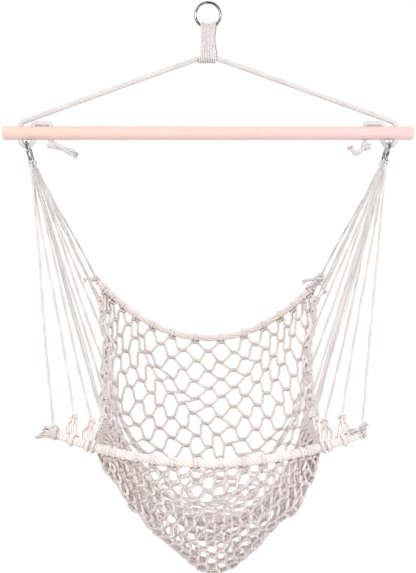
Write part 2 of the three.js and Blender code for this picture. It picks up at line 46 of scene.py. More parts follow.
# Camera, level and straight in front
PHOTO_WIDTH = 416
FOCAL_PIXELS = 1058
SENSOR_WIDTH = 36
camera_data = bpy.data.cameras.new("front_camera")
camera_data.sensor_fit = "HORIZONTAL"
camera_data.sensor_width = SENSOR_WIDTH
camera_data.lens = SENSOR_WIDTH * FOCAL_PIXELS / PHOTO_WIDTH
camera = bpy.data.objects.new("front_camera", camera_data)
camera.location = (0, -2.35, -0.6276)
camera.rotation_euler = (math.pi / 2, 0, 0)
scene.collection.objects.link(camera)
scene.camera = camera

# Sizes that the part has too
RING_RADIUS = 0.028
RING_WIRE = 0.006
RING_LEAN = math.radians(14.6)
HANGING_RING_DROP = 0.025
BAR_LENGTH = 0.910
BAR_RADIUS = 0.015
BAR_DROP = 0.287
HOLES = (0.416, 0.388, 0.349)
HANGER_RADIUS = 0.0055
LASHING_RADIUS = 0.003
ROPE_MIDDLE = 0.122
LASHING_HALF = 0.0166
SHOULDER_BEND = 0.040
SHOULDER_RISE = 0.0082
LOOP_HALF = (HOLES[0] - HOLES[1]) / 2
LOOP_DROP = BAR_DROP + BAR_RADIUS + LOOP_HALF
SIDE_RING_TOP = LOOP_DROP - 0.0088
SIDE_RING_X = (HOLES[0] + HOLES[1]) / 2 - RING_RADIUS * math.sin(RING_LEAN)
SIDE_RING_DROP = SIDE_RING_TOP + RING_RADIUS * math.cos(RING_LEAN)
RING_ARC = math.radians(108)  # of a side ring, over which its cords are tied
FEET = 10
SIDE_FEET = 7  # the rest hold the front rope
HALF_DEPTH = 0.335
FORWARD = 0.027
BACK_HALF = 0.278
WAIST_HALF = 0.214
FRONT_HALF = 0.289
BACK_DROP = 0.613
FRONT_DROP = 0.903
FOOT_DEPTH_SHARES = (1, 0.806, 0.567, 0.299, 0.03, -0.239, -0.507, -0.806, -0.91, -1)
FOOT_WIDTH_SHARES = (1, 0.797, 0.594, 0.234, 0.141, 0.078, 0, 0.147, 0.547, 1)
FOOT_DROP_SHARES = (0, 0.157, 0.237, 0.517, 0.692, 0.859, 0.969, 0.955, 0.907, 1)
EDGE_RADIUS = 0.0085
EDGE_CURVE_POWER = 2.1
BACK_ROPE_DEPTH, BACK_ROPE_DROP = 0.350, 0.758
FRONT_ROPE_DEPTH, FRONT_ROPE_DROP = 0.360, 0.9555
CORNER_REACH = 0.0143
NET_FRONT_HALF = 0.190
NET_BACK_HALF = 0.2547

# Sizes of the scene alone
LASHING_CORD_RADIUS = 0.0017
ROPE_SEAT = 0.0003  # room between a rope and what it rests on
HANGER_SWELL_SHARE = 1.05  # its ridges stand out, as its grooves lie in


def vec(*xyz):
    return np.array(xyz, float)


def unit(v):
    return v / np.linalg.norm(v)


def eased(t):
    return t * t * (3 - 2 * t)


def ramp(value, start, over):
    """0 up to the start, then evenly up to 1."""
    return np.clip((value - start) / over, 0, 1)


# Places on the chair

def foot(side, k):
    """Where a harness cord is knotted to the net or the front rope."""
    inner, outer = (WAIST_HALF, BACK_HALF) if k < SIDE_FEET else (WAIST_HALF, FRONT_HALF)
    x = inner + (outer - inner) * FOOT_WIDTH_SHARES[k]
    drop = BACK_DROP + (FRONT_DROP - BACK_DROP) * FOOT_DROP_SHARES[k]
    return vec(side * x, HALF_DEPTH * FOOT_DEPTH_SHARES[k] - FORWARD, -drop)


def on_back_rope(x):
    rise = (abs(x) / BACK_HALF) ** EDGE_CURVE_POWER
    depth = BACK_ROPE_DEPTH + (HALF_DEPTH - BACK_ROPE_DEPTH) * rise
    return vec(x, depth - FORWARD, -(BACK_ROPE_DROP + (BACK_DROP - BACK_ROPE_DROP) * rise))


def on_front_rope(x):
    rise = (abs(x) / FRONT_HALF) ** EDGE_CURVE_POWER
    depth = FRONT_ROPE_DEPTH + (HALF_DEPTH - FRONT_ROPE_DEPTH) * rise
    return vec(x, -depth - FORWARD, -(FRONT_ROPE_DROP + (FRONT_DROP - FRONT_ROPE_DROP) * rise))


def cord_angle(k):
    """Where on its side ring a harness cord is tied."""
    return RING_ARC * (0.5 - k / (FEET - 1))


def ring_place(side, angle):
    """The middle of a side ring's wire, by the angle from the ring's foot towards the back."""
    down = vec(-side * math.sin(RING_LEAN), 0, -math.cos(RING_LEAN))
    middle = vec(side * SIDE_RING_X, 0, -SIDE_RING_DROP)
    return middle + RING_RADIUS * (math.cos(angle) * down + math.sin(angle) * vec(0, 1, 0))


def rounded(corners, radii, per_turn=40):
    """A route with straight runs, and an arc of the given radius at each inner corner."""
    points = [corners[0]]
    for k in range(1, len(corners) - 1):
        into = unit(corners[k] - corners[k - 1])
        out = unit(corners[k + 1] - corners[k])
        turn = math.acos(max(-1, min(1, float(into @ out))))
        start = corners[k] - into * radii[k - 1] * math.tan(turn / 2)
        inward = unit(out - into * (out @ into))
        centre = start + inward * radii[k - 1]
        steps = max(2, round(turn / TURN * per_turn))
        for s in range(steps + 1):
            a = turn * s / steps
            points.append(centre + radii[k - 1] * (math.sin(a) * into - math.cos(a) * inward))
    points.append(corners[-1])
    return points


def square_to(axis, wanted):
    """Two directions square to the axis, the first as near as can be to the wanted one."""
    first = unit(wanted - axis * (wanted @ axis))
    return first, np.cross(axis, first)


# Node trees: nodes by type, and maths written as expressions

class Value:
    """A socket that expressions work on. Each operation adds a Math node."""

    def __init__(self, graph, node, socket):
        self.graph, self.node, self.socket = graph, node, socket

    def out(self, name):
        return Value(self.graph, self.node, self.node.outputs[name])

    def math(self, operation, *others, swap=False):
        terms = (*others, self) if swap else (self, *others)
        return self.graph.node("ShaderNodeMath", {"operation": operation}, dict(enumerate(terms)))

    def clamped(self):
        return self.math("MAXIMUM", 0).math("MINIMUM", 1)

    def __add__(self, other):
        return self.math("ADD", other)

    def __sub__(self, other):
        return self.math("SUBTRACT", other)

    def __rsub__(self, other):
        return self.math("SUBTRACT", other, swap=True)

    def __mul__(self, other):
        return self.math("MULTIPLY", other)

    def __truediv__(self, other):
        return self.math("DIVIDE", other)

    def __pow__(self, other):
        return self.math("POWER", other)

    def __abs__(self):
        return self.math("ABSOLUTE")

    __radd__ = __add__
    __rmul__ = __mul__


class Graph:
    def __init__(self, tree):
        self.tree = tree

    def node(self, kind, settings=None, inputs=None, output=0):
        node = self.tree.nodes.new(kind)
        for key, value in (settings or {}).items():
            if key == "stops":
                ramp = node.color_ramp.elements
                while len(ramp) < len(value):
                    ramp.new(1)
                for element, (place, colour) in zip(ramp, value):
                    element.position, element.color = place, colour
            else:
                setattr(node, key, value)
        for key, value in (inputs or {}).items():
            if isinstance(value, Value):
                self.tree.links.new(value.socket, node.inputs[key])
            else:
                node.inputs[key].default_value = value
        return Value(self, node, node.outputs[output] if node.outputs else None)

    def noise(self, place, scale, detail, output="Fac", **more):
        inputs = {"Vector": place, "Scale": scale, "Detail": detail, **more}
        return self.node("ShaderNodeTexNoise", None, inputs).out(output)

    def scaled(self, vector, factor):
        return self.node("ShaderNodeVectorMath", {"operation": "SCALE"}, {0: vector, "Scale": factor})

    def stored(self, geometry, kind, name, value):
        settings = {"data_type": kind, "domain": "POINT"}
        inputs = {"Geometry": geometry, "Name": name, "Value": value}
        return self.node("GeometryNodeStoreNamedAttribute", settings, inputs)

    def stretched(self, place, *scale):
        return self.node("ShaderNodeMapping", None, {"Vector": place, "Scale": scale})

    def mix(self, factor, a, b):
        return self.node("ShaderNodeMix", {"data_type": "RGBA"}, {0: factor, 6: a, 7: b}, output=2)


def rgb(r, g, b):
    return (r, g, b, 1)


# Finishes

BEIGE_SHARES = (0.985, 0.985, 0.93, 1)  # of a cotton's own colour, where it is warmest
DIM_SHARES = (0.42, 0.38, 0.38, 1)  # and where it is stained, and where painted shade darkens the grooves between its strands
OFF_WHITE = rgb(0.965, 0.905, 0.895)
COOL_WHITE = rgb(0.775, 0.74, 0.75)
LASHING_WHITE = rgb(0.86, 0.825, 0.83)
PALE_PINK = rgb(0.98, 0.94, 0.935)
PINK_SHADE = rgb(0.50, 0.34, 0.32)


def finish(name, build):
    material = bpy.data.materials.new(name)
    material.use_nodes = True
    tree = material.node_tree
    tree.nodes.clear()
    graph = Graph(tree)
    shader = build(graph)
    graph.node("ShaderNodeOutputMaterial", None, {"Surface": shader})
    return material


def cotton(name, strands, lay, yarns, light, groove_shade, depth, crevice_shade, stain=0.5):
    """Laid cotton: strands with a groove between them, yarns along the rope and loose fibre. Its colour
    also holds painted shade, in the grooves and where other cords close round it.
    """

    def build(g):
        place = g.node("ShaderNodeTexCoord").out("Object")
        around = g.node("ShaderNodeAttribute", {"attribute_name": "around"}).out("Vector")
        parts = g.node("ShaderNodeSeparateXYZ", None, {0: around})
        along = g.node("ShaderNodeAttribute", {"attribute_name": "along"}).out("Fac")
        angle = parts.out("Y").math("ARCTAN2", parts.out("X"))
        valley = 1 - abs((angle * (strands / 2)).math("COSINE"))
        yarn_twist = TURN / lay * 1.35
        line = ((angle + along * yarn_twist) * yarns).math("SINE")
        fibre = g.noise(place, 900, 3, Roughness=0.7)
        patch = g.noise(place, 21, 3)
        tint = g.noise(place, 7, 2)
        # Random stains and yarn lines, plus painted shade: darker in the grooves between the strands
        stain_and_groove_shade = (patch - 0.5) * stain + valley ** 2 * groove_shade + (line * -0.5 + 0.5) * 0.10
        openness = g.node("ShaderNodeAmbientOcclusion", {"samples": 6}, {"Distance": 0.012}, output="AO")
        stain_and_groove_shade = (stain_and_groove_shade + (fibre - 0.5) * 0.4).clamped()
        # Painted shade: the colour turns to PINK_SHADE where other cords and strands close round a point
        painted_crevice_shade = ((1 - openness) * crevice_shade).clamped()
        beige = tuple(c * share for c, share in zip(light, BEIGE_SHARES))
        stain_and_shade_colour = tuple(c * share for c, share in zip(light, DIM_SHARES))
        warmth = ((tint - 0.45) * 5).clamped()
        colour = g.mix(painted_crevice_shade, g.mix(stain_and_groove_shade, g.mix(warmth, light, beige), stain_and_shade_colour), PINK_SHADE)
        height = 1 - valley ** 2 + line * 0.16 + fibre * 0.55
        bump = g.node("ShaderNodeBump", None, {"Strength": 0.75, "Distance": depth, "Height": height})
        rough = (fibre - 0.5) * 0.12 + 0.92
        return g.node("ShaderNodeBsdfPrincipled", None, {
            "Base Color": colour, "Roughness": rough, "Normal": bump,
            "Sheen Weight": 0.05, "Sheen Roughness": 0.6, "Specular IOR Level": 0.2,
        })

    return finish(name, build)


def turned_wood(name):
    """Pale turned softwood: long grain along the bar, faint rings, a few pin knots."""

    def build(g):
        place = g.node("ShaderNodeTexCoord").out("Object")
        x = g.node("ShaderNodeSeparateXYZ", None, {0: place}).out("X")
        grain = g.noise(g.stretched(place, 3.2, 60, 60), 4, 6, Roughness=0.62)
        fine = g.noise(g.stretched(place, 14, 420, 420), 5, 4)
        pins = g.node("ShaderNodeTexVoronoi", None, {"Vector": g.stretched(place, 9, 30, 30), "Scale": 1})
        pin_knot = 1 - (pins.out("Distance") * 5).math("MINIMUM", 1)
        warm = g.mix((x * 1.1 + 0.5).clamped(), rgb(0.85, 0.595, 0.475), rgb(0.855, 0.595, 0.60))
        band = (grain * 2.4 - 0.75).clamped()
        pale = g.mix(band * 0.7, warm, rgb(0.875, 0.725, 0.685))
        lined = g.mix((fine - 0.42).math("MAXIMUM", 0) * 1.4, pale, rgb(0.78, 0.50, 0.42))
        colour = g.mix(pin_knot ** 3 * 0.45, lined, rgb(0.55, 0.28, 0.18))
        height = fine + grain * 0.6
        bump = g.node("ShaderNodeBump", None, {"Strength": 0.35, "Distance": 0.0004, "Height": height})
        rough = fine * 0.2 + 0.42
        return g.node("ShaderNodeBsdfPrincipled", None, {
            "Base Color": colour, "Roughness": rough, "Normal": bump, "Specular IOR Level": 0.35,
        })

    return finish(name, build)


def polished_steel(name):
    """Bright drawn wire with fine scratches, and dark bands in its colour that are a painted reflection.
    """

    def build(g):
        place = g.node("ShaderNodeTexCoord").out("Object")
        scratch = g.noise(place, 700, 3)
        painted_reflection_bands = g.noise(place, 90, 2)
        # Painted reflection: dark bands in the base colour stand in for a dark room mirrored in the wire
        colour = g.mix(((painted_reflection_bands - 0.5) * 4 + 0.5).clamped(), rgb(0.66, 0.66, 0.67), rgb(0.13, 0.13, 0.14))
        rough = scratch * 0.12 + 0.07
        bump = g.node("ShaderNodeBump", None, {"Strength": 0.15, "Distance": 0.0002, "Height": scratch})
        return g.node("ShaderNodeBsdfPrincipled", None, {
            "Base Color": colour, "Roughness": rough, "Metallic": 1.0, "Normal": bump,
        })

    return finish(name, build)


rope_cotton = cotton("laid cotton rope", 3, 0.034, 9, COOL_WHITE, 0.1, 0.0003, 0.3)
lashing_cotton = cotton("lashing cord cotton", 3, 0.008, 3, LASHING_WHITE, 0.06, 0.0001, 0.05)
cord_cotton = cotton("cotton cord", 3, 0.012, 5, OFF_WHITE, 0.25, 0.0003, 0.6)
thin_cotton = cotton("harness cord cotton", 3, 0.008, 3, PALE_PINK, 0.1, 0.0001, 0.15)
twine_cotton = cotton("net twine", 3, 0.013, 5, PALE_PINK, 0.18, 0.0004, 1.4, stain=0.55)
edge_cotton = cotton("edge rope cotton", 6, 0.050, 12, OFF_WHITE, 0.35, 0.0006, 0.8)
fray_cotton = cotton("frayed cotton", 2, 0.02, 3, OFF_WHITE, 0.3, 0.0001, 1.0)
bar_wood = turned_wood("pale turned wood")
ring_steel = polished_steel("polished ring wire")


# Rope: chains of points become laid rope

def laid_rope_tree():
    tree = bpy.data.node_groups.new("laid rope", "GeometryNodeTree")
    face = tree.interface
    face.new_socket(name="Chain", in_out="INPUT", socket_type="NodeSocketGeometry")
    sizes = (
        ("Radius", "NodeSocketFloat", 0.003),
        ("Lay", "NodeSocketFloat", 0.02),
        ("Step", "NodeSocketFloat", 0.003),
        ("Sides", "NodeSocketInt", 8),
        ("Strands", "NodeSocketInt", 3),
        ("Groove", "NodeSocketFloat", 0.0),
        ("Waver", "NodeSocketFloat", 0.0),
        ("Finish", "NodeSocketMaterial", None),
    )
    for name, kind, value in sizes:
        socket = face.new_socket(name=name, in_out="INPUT", socket_type=kind)
        if value is not None:
            socket.default_value = value
    face.new_socket(name="Rope", in_out="OUTPUT", socket_type="NodeSocketGeometry")
    g = Graph(tree)
    given = g.node("NodeGroupInput")
    line = g.node("GeometryNodeMeshToCurve", None, {"Mesh": given.out("Chain")})
    evenly = {"Curve": line, "Length": given.out("Step")}
    line = g.node("GeometryNodeResampleCurve", {"mode": "LENGTH"}, evenly)
    place = g.node("GeometryNodeInputPosition")
    noise = g.noise(place, 38.0, 1.0, output="Color")
    shift = g.node("ShaderNodeVectorMath", {"operation": "SUBTRACT"}, {0: noise, 1: (0.5, 0.5, 0.5)})
    shift = g.scaled(shift, given.out("Waver"))
    line = g.node("GeometryNodeSetPosition", None, {"Geometry": line, "Offset": shift})
    length = g.node("GeometryNodeSplineParameter").out("Length")
    line = g.stored(line, "FLOAT", "along", length)
    tilt = length * TURN / given.out("Lay")
    line = g.node("GeometryNodeSetCurveTilt", None, {"Curve": line, "Tilt": tilt})
    shape = {"Resolution": given.out("Sides"), "Radius": given.out("Radius")}
    circle = g.node("GeometryNodeCurvePrimitiveCircle", None, shape)
    parts = g.node("ShaderNodeSeparateXYZ", None, {0: place})
    angle = parts.out("Y").math("ARCTAN2", parts.out("X"))
    lobe = 1 - given.out("Groove") * (1 - abs((angle * given.out("Strands") / 2).math("COSINE")))
    grooved = g.scaled(place, lobe)
    section = g.node("GeometryNodeSetPosition", None, {"Geometry": circle, "Position": grooved})
    turn = g.node("ShaderNodeCombineXYZ", None, {0: angle.math("COSINE"), 1: angle.math("SINE")})
    section = g.stored(section, "FLOAT_VECTOR", "around", turn)
    tube = {"Curve": line, "Profile Curve": section, "Fill Caps": True}
    solid = g.node("GeometryNodeCurveToMesh", None, tube)
    solid = g.node("GeometryNodeRealizeInstances", None, {"Geometry": solid})
    solid = g.node("GeometryNodeSetMaterial", None, {"Geometry": solid, "Material": given.out("Finish")})
    g.node("NodeGroupOutput", None, {"Rope": solid})
    return tree


laid_rope = laid_rope_tree()


def grown(obj, tree, sizes):
    """The object's mesh as the tree makes it, with the modifier taken off again."""
    keys = {s.name: s.identifier for s in tree.interface.items_tree if s.in_out == "INPUT"}
    modifier = obj.modifiers.new(tree.name, "NODES")
    modifier.node_group = tree
    for name, value in sizes.items():
        modifier[keys[name]] = value
    depsgraph = bpy.context.evaluated_depsgraph_get()
    made = bpy.data.meshes.new_from_object(
        obj.evaluated_get(depsgraph), preserve_all_data_layers=True, depsgraph=depsgraph
    )
    obj.modifiers.remove(modifier)
    obj.data = made
    made.name = obj.name
    return obj


def rope(name, chains, finish, radius, lay=0.02, step=0.003, sides=8, groove=0.0, waver=0.0, strands=3):
    points, edges = [], []
    for chain in chains:
        start = len(points)
        points.extend(tuple(p) for p in chain)
        edges.extend((start + k, start + k + 1) for k in range(len(chain) - 1))
    mesh = bpy.data.meshes.new(name)
    mesh.from_pydata(points, edges, [])
    obj = bpy.data.objects.new(name, mesh)
    scene.collection.objects.link(obj)
    return grown(obj, laid_rope, {
        "Radius": radius, "Lay": lay, "Step": step, "Sides": sides, "Strands": strands,
        "Groove": groove, "Waver": waver, "Finish": finish,
    })


def joined(name, objects):
    """Several rope objects as one piece."""
    bm = bmesh.new()
    materials = []
    for obj in objects:
        before = len(bm.faces)
        bm.from_mesh(obj.data)
        bm.faces.ensure_lookup_table()
        for m in obj.data.materials:
            if m not in materials:
                materials.append(m)
        for f in bm.faces[before:]:
            f.material_index = materials.index(obj.data.materials[f.material_index])
    mesh = bpy.data.meshes.new(name)
    bm.to_mesh(mesh)
    bm.free()
    for m in materials:
        mesh.materials.append(m)
    for obj in objects:
        bpy.data.objects.remove(obj)
    made = bpy.data.objects.new(name, mesh)
    scene.collection.objects.link(made)
    return made


def smooth_object(name, bm, material):
    mesh = bpy.data.meshes.new(name)
    bm.to_mesh(mesh)
    bm.free()
    for polygon in mesh.polygons:
        polygon.use_smooth = True
    mesh.materials.append(material)
    obj = bpy.data.objects.new(name, mesh)
    scene.collection.objects.link(obj)
    return obj


def keep(obj, body, slot, *nodes):
    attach(obj, body)
    if nodes:
        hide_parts(*nodes)
    return obj


# Steel rings

def wire_ring(name, middle, down, across):
    """A round of wire with its butt weld near the top."""
    around, section = 120, 20
    weld_angle, weld_width, weld_share = 2.75, 0.0016, 0.09
    bm = bmesh.new()
    normal = np.cross(down, across)
    rows = []
    for k in range(around):
        a = TURN * k / around
        out = math.cos(a) * down + math.sin(a) * across
        weld = math.exp(-(((a - weld_angle) * RING_RADIUS / weld_width) ** 2))
        r = RING_WIRE / 2 * (1 + weld_share * weld)
        row = []
        for m in range(section):
            b = TURN * m / section
            place = middle + out * (RING_RADIUS + r * math.cos(b)) + normal * r * math.sin(b)
            row.append(bm.verts.new(place))
        rows.append(row)
    for k in range(around):
        for m in range(section):
            n, q = (k + 1) % around, (m + 1) % section
            bm.faces.new((rows[k][m], rows[n][m], rows[n][q], rows[k][q]))
    bmesh.ops.recalc_face_normals(bm, faces=bm.faces)
    return smooth_object(name, bm, ring_steel)


keep(
    wire_ring("hanging_ring_wire", vec(0, 0, -HANGING_RING_DROP), vec(0, 0, -1), vec(1, 0, 0)),
    "ring", "steel", "hanging_ring",
)
for word, side in (("left", -1), ("right", 1)):
    lean = vec(-side * math.sin(RING_LEAN), 0, -math.cos(RING_LEAN))
    middle = vec(side * SIDE_RING_X, 0, -SIDE_RING_DROP)
    wire = wire_ring(f"side_ring_wire_{word}", middle, lean, vec(0, 1, 0))
    keep(wire, "seat", "steel", f"side_ring_{word}")


# Bar, turned and drilled

def bar_profile():
    """Places along the bar and their radii, with a rounded edge at both ends."""
    edge, edge_steps, runs, half = 0.003, 6, 24, BAR_LENGTH / 2
    rounding = []
    for k in range(edge_steps + 1):
        a = math.pi / 2 * k / edge_steps
        rounding.append((half - edge * (1 - math.cos(a)), BAR_RADIUS - edge * (1 - math.sin(a))))
    return [
        (-half, 0.0), *((-x, r) for x, r in rounding),
        *((-half + BAR_LENGTH * k / runs, BAR_RADIUS) for k in range(1, runs)),
        *reversed(rounding), (half, 0.0),
    ]


def drill_bits():
    """A rod for each hole, and a cone for each of its two mouths."""
    hole, wide, narrow = 0.0062, 0.0082, 0.0050
    mouth_rise, mouth_depth = 0.0142, 0.0044
    bits = (
        (0, hole, hole, 0.04),
        (mouth_rise, narrow, wide, mouth_depth),
        (-mouth_rise, wide, narrow, mouth_depth),
    )
    bm = bmesh.new()
    for x in [side * x for x in HOLES for side in (-1, 1)]:
        for rise, low_radius, high_radius, depth in bits:
            made = bmesh.ops.create_cone(
                bm, cap_ends=True, segments=40, radius1=low_radius, radius2=high_radius, depth=depth,
            )
            bmesh.ops.translate(bm, verts=made["verts"], vec=(x, 0, rise - BAR_DROP))
    return bm


def drilled_bar():
    """The bar with its six holes, each wider at both mouths."""
    bm = bmesh.new()
    verts = [bm.verts.new((x, 0, r - BAR_DROP)) for x, r in bar_profile()]
    edges = [bm.edges.new(pair) for pair in zip(verts, verts[1:])]
    bmesh.ops.spin(
        bm, geom=verts + edges, cent=(0, 0, -BAR_DROP), axis=(1, 0, 0),
        angle=TURN, steps=72, use_duplicate=False,
    )
    bmesh.ops.remove_doubles(bm, verts=bm.verts, dist=1e-6)
    bmesh.ops.recalc_face_normals(bm, faces=bm.faces)
    bar = smooth_object("turned_bar", bm, bar_wood)
    drill = smooth_object("drill", drill_bits(), bar_wood)
    cut = bar.modifiers.new("holes", "BOOLEAN")
    cut.object, cut.operation, cut.solver, cut.use_self = drill, "DIFFERENCE", "EXACT", True
    depsgraph = bpy.context.evaluated_depsgraph_get()
    made = bpy.data.meshes.new_from_object(bar.evaluated_get(depsgraph), depsgraph=depsgraph)
    bar.modifiers.clear()
    bar.data = made
    bpy.data.objects.remove(drill)
    flat = bmesh.new()
    flat.from_mesh(made)
    for e in flat.edges:
        e.smooth = len(e.link_faces) == 2 and e.calc_face_angle(0) < 0.6
    flat.to_mesh(made)
    flat.free()
    return bar


keep(drilled_bar(), "hanger", "wood", "spreader_bar")


# Hanger rope and its lashing

def hanger_route():
    """Inner hole, over the bar, the side ring's loop, outer hole, lashing, and down the other side."""
    bar_top, bar_under = BAR_DROP - BAR_RADIUS, BAR_DROP + BAR_RADIUS
    bar_room, hump_bend, outer_bend = 0.0005, 0.006, 0.010
    hump = bar_top - HANGER_RADIUS - bar_room
    slope = math.atan2(bar_top - SHOULDER_RISE - ROPE_MIDDLE, HOLES[0] - LASHING_HALF)
    half = [
        (HOLES[2], bar_under, 0), (HOLES[2], hump, hump_bend), (HOLES[1], hump, hump_bend),
        (HOLES[1], LOOP_DROP, LOOP_HALF), (HOLES[0], LOOP_DROP, LOOP_HALF),
        (HOLES[0], bar_top - SHOULDER_RISE, outer_bend),
        (LASHING_HALF + SHOULDER_BEND * math.tan(slope / 2), ROPE_MIDDLE, SHOULDER_BEND),
    ]
    places = [vec(-x, 0, -z) for x, z, _ in half] + [vec(x, 0, -z) for x, z, _ in reversed(half)]
    bends = [b for *_, b in half[1:]] + [b for *_, b in reversed(half[1:])]
    return rounded(places, bends)


keep(
    rope("laid_hanger_rope", [hanger_route()], rope_cotton, HANGER_RADIUS * HANGER_SWELL_SHARE,
         lay=0.034, step=0.0022, sides=18, groove=0.10, waver=0.0008),
    "hanger", "rope", "hanger_rope",
)


def lashing_route(shift):
    """Turns over the ring's wire and round the rope, wider at both ends than at the waist."""
    turns, pitch, steps = 5, 0.0068, 48
    bend_share = 0.4  # of a turn, once round the rope and once round the wire
    straight_share = 0.5 - bend_share
    wire_play = 0.0025
    top = RING_WIRE / 2 + LASHING_RADIUS + wire_play
    low = HANGER_RADIUS + LASHING_RADIUS + ROPE_SEAT
    points = []
    for n in range(turns * steps + 1):
        s = n / steps
        x = pitch * (s - turns / 2) + shift
        wire = HANGING_RING_DROP + math.sqrt(RING_RADIUS ** 2 - x * x)
        k = (n % steps) / steps
        if k <= bend_share:
            a = math.pi * k / bend_share
            y, z = low * math.cos(a), ROPE_MIDDLE + low * math.sin(a)
        elif k < 0.5:
            t = (k - bend_share) / straight_share
            y, z = -(low + (top - low) * t), ROPE_MIDDLE + (wire - ROPE_MIDDLE) * t
        elif k <= 0.5 + bend_share:
            a = math.pi * (k - 0.5) / bend_share
            y, z = -top * math.cos(a), wire - top * math.sin(a)
        else:
            t = (k - 0.5 - bend_share) / straight_share
            y, z = top + (low - top) * t, wire + (ROPE_MIDDLE - wire) * t
        points.append(vec(x * lashing_width(z), y, -z))
    return points


def lashing_width(drop):
    """How wide the lashing is at this drop, as a share of its width at the ring's wire."""
    wire_drop, waist_share, foot_share = 0.055, 0.16, 0.14
    t = min(1, max(0, (drop - wire_drop) / (ROPE_MIDDLE - wire_drop)))
    return 1 - waist_share * math.sin(math.pi * min(1, t * 1.4)) + foot_share * t ** 3


keep(
    rope("lashing_winding", [lashing_route(side * LASHING_CORD_RADIUS) for side in (-1, 1)],
         lashing_cotton, LASHING_CORD_RADIUS, lay=0.008, step=0.0022, sides=8),
    "hanger", "rope", "ring_lashing",
)


# Knots

def wrapped(start, end, cord, turns, tail_way, tail, bite=0.001, gap=0.0007):
    """A core along the rope, and turns round it that end in a tail."""
    axis = unit(end - start)
    first, second = square_to(axis, tail_way)
    steps = 24
    radius, pitch = cord - bite, cord + gap
    middle = (start + end) / 2
    total = round(turns * steps)
    points = []
    for k in range(total + 1):
        angle = TURN * (k - total) / steps - math.pi / 2
        out = radius * min(1, k / 6)
        place = middle + axis * pitch * (k / steps - turns / 2)
        points.append(place + out * (math.cos(angle) * first + math.sin(angle) * second))
    way = unit(tail_way)
    for k in range(1, 9):
        t = k / 8
        points.append(points[total] + way * tail * t + vec(0, 0, -1) * 0.18 * tail * t * t)
    return [[start, end], points]


def frayed(end, way, length, spread, count, seed, pointed=False):
    """Yarns that open out from the end of a rope, or draw together to a point."""
    rng = np.random.default_rng(seed)
    ahead, sag = unit(way), vec(0, 0, -0.35)
    first, second = square_to(ahead, vec(0.3, 1, 0.2))
    chains = []
    for k in range(count):
        a = TURN * (k + rng.uniform(-0.3, 0.3)) / count
        out = math.cos(a) * first + math.sin(a) * second
        size = length * rng.uniform(0.6, 1.1)
        curl = vec(*rng.uniform(-0.3, 0.3, 3)) * (0.3 if pointed else 1)
        chain = []
        for t in np.linspace(0, 1, 8):
            opening = 1.1 - t if pointed else 0.25 + t * t
            place = end + ahead * size * (t - 0.15) + out * spread * opening
            chain.append(place + curl * size * t * t * 0.7 + sag * size * t * t)
        chains.append(chain)
    return chains


def knot_piece(name, chains, radius, sides, groove, yarns, yarn_radius, body, node):
    solid = rope(
        name + "_turns", chains, rope_cotton, radius, lay=0.026, step=0.0022, sides=sides, groove=groove,
    )
    loose = rope(name + "_yarns", yarns, fray_cotton, yarn_radius, step=0.003, sides=5)
    keep(joined(name, [solid, loose]), body, "rope", node)


def foot_knot(place, way, size):
    """A small overhand knot: three lobes round the cord."""
    ahead = unit(way)
    first, second = square_to(ahead, vec(0.2, 1, 0.1))
    steps, lobe_share, height_share = 36, 0.28, 0.45
    points = []
    for k in range(steps + 1):
        a = TURN * k / steps
        x = math.sin(a) + 2 * math.sin(2 * a)
        y = math.cos(a) - 2 * math.cos(2 * a)
        z = -math.sin(3 * a)
        offset = (x * first + y * second) * lobe_share + z * ahead * height_share
        points.append(place + size * offset)
    return points


def curve(points, count=24):
    """A smooth run through the points, which are evenly spaced on it."""
    places = np.array(points)
    t = np.linspace(0, len(points) - 1, count)
    made = []
    for value in t:
        k = min(int(value), len(points) - 2)
        u = value - k
        a, b, c, d = (places[max(0, min(len(points) - 1, k + n))] for n in (-1, 0, 1, 2))
        bend = (2 * a - 5 * b + 4 * c - d) * u * u
        made.append(0.5 * (2 * b + (c - a) * u + bend + (3 * b - a - 3 * c + d) * u ** 3))
    return made


def bundle(chain, count, offset, pitch):
    """Cords that wind slowly round each other along a chain."""
    made = [[] for _ in range(count)]
    run = 0.0
    for k, p in enumerate(chain):
        before, after = chain[max(0, k - 1)], chain[min(len(chain) - 1, k + 1)]
        run += float(np.linalg.norm(p - before))
        first, second = square_to(unit(after - before), vec(0, 0.2, 1))
        for m in range(count):
            a = TURN * (run / pitch + m / count)
            made[m].append(p + offset * (math.cos(a) * first + math.sin(a) * second))
    return made


def stopper(word, side, ball, size, tail_places, tail_cords):
    """The knot under the hanger rope's inner hole, with its thick tail."""
    hole = vec(side * HOLES[2], 0, -(BAR_DROP + BAR_RADIUS + ROPE_SEAT))
    middle = hole + vec(*ball)
    tail = curve([middle] + [hole + vec(*place) for place in tail_places])
    chains = [
        foot_knot(middle, vec(side * 0.3, 0.2, 1), size),
        curve([hole, (hole + middle) / 2, middle], 8),
        *bundle(tail, tail_cords, 0.0036 * (tail_cords - 1), 0.10),
    ]
    yarns = frayed(tail[-1], tail[-1] - tail[-3], 0.010, 0.006, 16 * tail_cords, 5 + side)
    knot_piece(
        f"stopper_{word}", chains, 0.0048, 14, 0.14, yarns, 0.0010, "hanger", f"stopper_knot_{word}",
    )


stopper(
    "left", -1, (0, 0, -0.010), 0.0070,
    ((0.014, -0.002, -0.014), (0.032, -0.001, -0.021), (0.050, 0, -0.029)), 2,
)
stopper(
    "right", 1, (0.001, 0, -0.013), 0.0098,
    ((-0.010, -0.006, -0.024), (-0.022, -0.004, -0.031), (-0.030, 0, -0.019)), 1,
)


